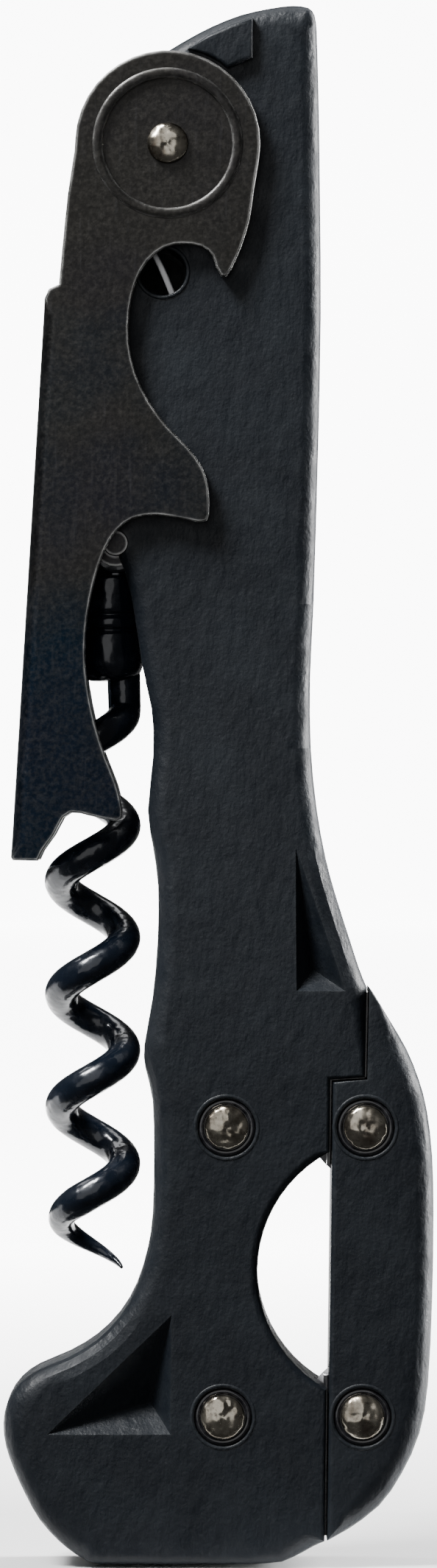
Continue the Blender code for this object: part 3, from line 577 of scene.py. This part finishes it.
for owner, level in RIVET_PLACES:
    name = "%s_rivet_%s" % (owner, level)
    make_piece(name + "_finished", [(rivet_grid(name, 1.2, 0.7), False, True, nickel)],
               owner, [name], 50)
make_piece("lever_pivot_rivet_finished",
           [(rivet_grid("lever_pivot_rivet", 1.25, 0.75), False, True, nickel)],
           "handle", ["lever_pivot_rivet"], 50)

# %% [markdown]
# The ring is a little prouder than the CAD washer and fills the counterbore up to its lip, so
# it reads as a dark glossy band between the nickel and the plastic.

# %% Turn the rings
for owner, level in RIVET_PLACES:
    for side, word in SIDES:
        name = "%s_washer_%s_%s" % (owner, level, word)
        x, y, z = middle(name)
        foot = side * (abs(y) - 0.08)
        crown = bead(2.13, foot + side * 0.14, 0.5, 0.2, side)
        inner = [(1.3, foot + side * 0.14), (1.3, foot)]
        profile = np.concatenate([crown[::-1], inner, [(2.36, foot)]])
        make_piece(name + "_finished", [(turn(profile, (x, z), 72), True, True, black_ring)],
                   owner, [name], 50)

# %% [markdown]
# ## Lips
# Each counterbore and the window below the bottle opener has a thin moulded lip on the face.

# %% Turn the lips
face = -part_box("handle_front_shell")[0][1] / MM
for owner, level in RIVET_PLACES:
    x, _, z = middle("%s_rivet_%s" % (owner, level))
    for side, word in SIDES:
        profile = footed_bead(2.62, side * (face - 0.04), 0.34, 0.1, side, side * (face - 0.3))
        make_piece("%s_lip_%s_%s" % (owner, level, word),
                   [(turn(profile, (x, z), 72), True, True, soft_black)], owner,
                   crease=50)

WINDOW_X, WINDOW_Z = -4.66, 107.7
profile = footed_bead(2.13, -(reach("lever")[1] / 2 - 1.45), 0.34, 0.12, -1, -4.8)
make_piece("window_lip",
           [(turn(profile, (WINDOW_X, WINDOW_Z), 72), True, True, soft_black)], "handle",
           crease=50)

# %% [markdown]
# ## Painted shade along the split
# A thin black strip fills the gap where the jaw meets the handle, as painted shade, so no light
# shows through the gap. It is the same rounded strip as a spring, carried along the split.

# %% Lay the painted shade strips


def curve_through(points, steps=14):
    """A Catmull-Rom curve: each span is a cubic that passes through its two end points and
    leaves them along the line joining their neighbours."""
    p = np.array(points, float)
    p = np.concatenate([2 * p[:1] - p[1:2], p, 2 * p[-1:] - p[-2:-1]])
    t = np.linspace(0, 1, steps, endpoint=False)[None, :, None]
    a, b, c, d = (p[k:len(p) - 3 + k][:, None] for k in range(4))
    out = 0.5 * (2 * b + (c - a) * t + (2 * a - 5 * b + 4 * c - d) * t ** 2
                 + (3 * b - a - 3 * c + d) * t ** 3)
    return np.concatenate([out.reshape(-1, 2), p[-2:-1]])


def strip(path, thick, low, high, sides=40):
    """A rounded rectangle in (across, y) carried along a path of (x, z): its outline is the
    superellipse |u|^8 + |v|^8 = 1 stretched to the strip's thickness and width."""
    along = np.gradient(path, axis=0)
    along /= np.linalg.norm(along, axis=1)[:, None]
    across = np.stack([along[:, 1], -along[:, 0]], axis=1)
    a = np.linspace(0, 2 * np.pi, sides, endpoint=False)
    power = (np.abs(np.cos(a)) ** 8 + np.abs(np.sin(a)) ** 8) ** (-1 / 8)
    u, v = np.cos(a) * power * thick / 2, np.sin(a) * power * (high - low) / 2
    x = path[:, :1] + across[:, :1] * u
    z = path[:, 1:] + across[:, 1:] * u
    y = np.broadcast_to((low + high) / 2 + v, x.shape)
    grid = np.stack([x, y, z], axis=-1)
    middles = grid.mean(axis=1, keepdims=True)
    ends = [np.broadcast_to(middles[k], grid[:1].shape) for k in (0, -1)]
    return np.concatenate([ends[0], grid, ends[1]])


split_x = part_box("jaw_front_shell")[0][0] / MM
# Black strips as painted shade, filling the split between the jaw and the handle.
for word, path in (("lower", [(split_x - 0.1, 2.2), (split_x - 0.02, 15.6)]),
                   ("upper", [(split_x + 0.2, 33.2), (split_x + 0.36, 40.29)]),
                   ("shelf", [(split_x + 0.45, 40.29), (split_x + 3.2, 40.47)]),
                   ("top", [(split_x + 3.26, 40.5), (split_x + 3.4, 47.6)])):
    path = np.linspace(path[0], path[1], 8)
    make_piece("jaw_seal_" + word, [(strip(path, 0.44, -3.5, 3.5), False, True, black_ring)],
               "jaw", crease=35)

# %% [markdown]
# ## Springs and discs
# The leaf spring that snaps the worm open and shut crosses the window, where its ground edge
# catches the light. It is a rounded rectangle carried along a bent path in the XZ plane.

# %% Bend the springs
leaf = curve_through([(-7.3, 112.3), (-4.7, 108.0), (-2.9, 102.5), (-2.7, 96.0), (-4.2, 91.0),
                      (-6.0, 89.0)])
detent = curve_through([(-13.0, 11.7), (-11.0, 11.0), (-9.0, 10.75), (-7.0, 11.0),
                        (-5.0, 11.7)])
make_piece("worm_backspring_finished", [(strip(leaf, 0.7, -2.4, 2.4), False, True, ground)],
           "handle", ["worm_backspring"], 35)
make_piece("jaw_detent_spring_finished", [(strip(detent, 0.35, 0.7, 1.9), False, True, ground)],
           "handle", ["jaw_detent_spring"], 35)

# %% [markdown]
# The foil cutter's discs are thin wheels ground to an edge on both faces. The grind is a cone
# with a slight hollow.

# %% Turn the discs
for level in ("upper", "lower"):
    name = "cutting_disc_" + level
    x, _, z = middle(name)
    edge_r, half = reach(name)[0] / 2, reach(name)[1] / 2
    s = np.linspace(0, 1, 12)
    grind = np.stack([edge_r - 0.9 * (1 - s), half - (half - 0.03) * s ** 0.8], axis=1)
    front = np.concatenate([[(1.28, half)], grind])
    profile = np.concatenate([front, front[::-1] * [1, -1]])
    make_piece(name + "_finished", [(turn(profile, (x, z), 120), True, True, polished)],
               "disc_" + level, [name], 20)

# %% [markdown]
# ## Plates, pins and spacers
# These stay as the CAD made them, inside the handle, with ground steel and gunmetal on them.

# %% Dress the hidden parts
for name, material in (("core_plate", ground), ("jaw_slider", ground), ("worm_pin", gunmetal),
                       ("worm_spacer_front", gunmetal), ("worm_spacer_back", gunmetal)):
    node = frame["nodes"][name]
    node.data.materials.clear()
    node.data.materials.append(material)
    print(name, "wears", material.name)

# %% [markdown]
# ## Stage, light and camera
# The tool stands on a pale sweep that curves up behind it and glows a little there. A small
# light hangs above and to the left, a tall one at the right draws the bright line down the
# rim, and the pale world fills the shadows. The camera looks level from the front.

# %% Build the stage
FLOOR_START, FLOOR_END, FLOOR_DROP = -0.009, 3.4, 0.0003  # metres
BEND, WALL_TOP, SWEEP_HALF = 0.35, 1.6, 1.5
a = np.linspace(0, np.pi / 2, 24)
floor_y = np.concatenate([[FLOOR_START, 0.2, 1.7], FLOOR_END + BEND * np.sin(a),
                          [FLOOR_END + BEND]])
floor_z = np.concatenate([[0, 0, 0], BEND - BEND * np.cos(a), [WALL_TOP]]) - FLOOR_DROP
sweep_x = np.linspace(-SWEEP_HALF, SWEEP_HALF, 9)
sweep = np.stack(np.broadcast_arrays(sweep_x[None], floor_y[:, None], floor_z[:, None]), axis=-1)
mesh = bpy.data.meshes.new("sweep")
mesh.from_pydata(sweep.reshape(-1, 3), [], grid_faces(*sweep.shape[:2])[:, ::-1])
mesh.shade_smooth()
floor = bpy.data.objects.new("sweep", mesh)
bpy.context.scene.collection.objects.link(floor)
paper, tree, shader = finish("pale_paper", (0.93, 0.93, 0.93), 0.7, specular=0.2)
shader.inputs["Emission Color"].default_value = (1, 1, 1, 1)
place = tree.nodes.new("ShaderNodeTexCoord")
parts = tree.nodes.new("ShaderNodeSeparateXYZ")
tree.links.new(place.outputs["Object"], parts.inputs["Vector"])
near_middle = spread(tree, maths(tree, "ABSOLUTE", parts.outputs["X"], 0.0), 0.12, 0.24, 1.0, 0.0)
low_down = spread(tree, parts.outputs["Z"], 0.6, 0.7, 1.0, 0.0)
behind = spread(tree, parts.outputs["Y"], 0.05, 0.5, 0.0, 9.0)
glow = maths(tree, "MULTIPLY", maths(tree, "MULTIPLY", near_middle, low_down), behind)
tree.links.new(glow, shader.inputs["Emission Strength"])
mesh.materials.append(paper)
print("the sweep is", len(mesh.polygons), "faces")

# %% Hang the lights


def soft_light(name, place, size, watts):
    """An area light at a place, turned to face the middle of the tool."""
    lamp = bpy.data.lights.new(name, "AREA")
    lamp.shape = "RECTANGLE"
    lamp.size, lamp.size_y = size
    lamp.energy = watts
    holder = bpy.data.objects.new(name, lamp)
    bpy.context.scene.collection.objects.link(holder)
    holder.location = place
    away = holder.location - tool_middle
    holder.rotation_euler = away.to_track_quat("Z", "Y").to_euler()
    print(name, "at", place, "gives", watts, "W")


tool_middle = Vector((0, 0, (cad_box[0][2] + cad_box[1][2]) / 2))
soft_light("key", (-0.25, -0.2, 0.5), (0.16, 0.16), 6.5)
soft_light("front_glow", (-0.25, -0.95, 0.35), (0.9, 0.9), 2.2)
soft_light("rim_strip", (0.35, 0.1, 0.1), (0.12, 0.5), 9.0)
soft_light("background", (0.0, 0.35, 1.1), (1.6, 0.4), 8.0)

world = bpy.data.worlds.new("pale_world")
world.use_nodes = True
world.node_tree.nodes["Background"].inputs["Color"].default_value = (1, 1, 1, 1)
world.node_tree.nodes["Background"].inputs["Strength"].default_value = 0.05
bpy.context.scene.world = world

# %% Set the camera
DISTANCE, FRAME_TALL = 0.75, 0.1305
camera = bpy.data.cameras.new("camera")
camera.sensor_fit = "VERTICAL"
camera.sensor_height = 36.0
camera.lens = 36.0 * DISTANCE / FRAME_TALL
viewer = bpy.data.objects.new("camera", camera)
bpy.context.scene.collection.objects.link(viewer)
viewer.location = (0, -DISTANCE - face * MM, tool_middle.z)
viewer.rotation_euler = (math.pi / 2, 0, 0)
bpy.context.scene.camera = viewer
print("lens", round(camera.lens, 1), "mm")
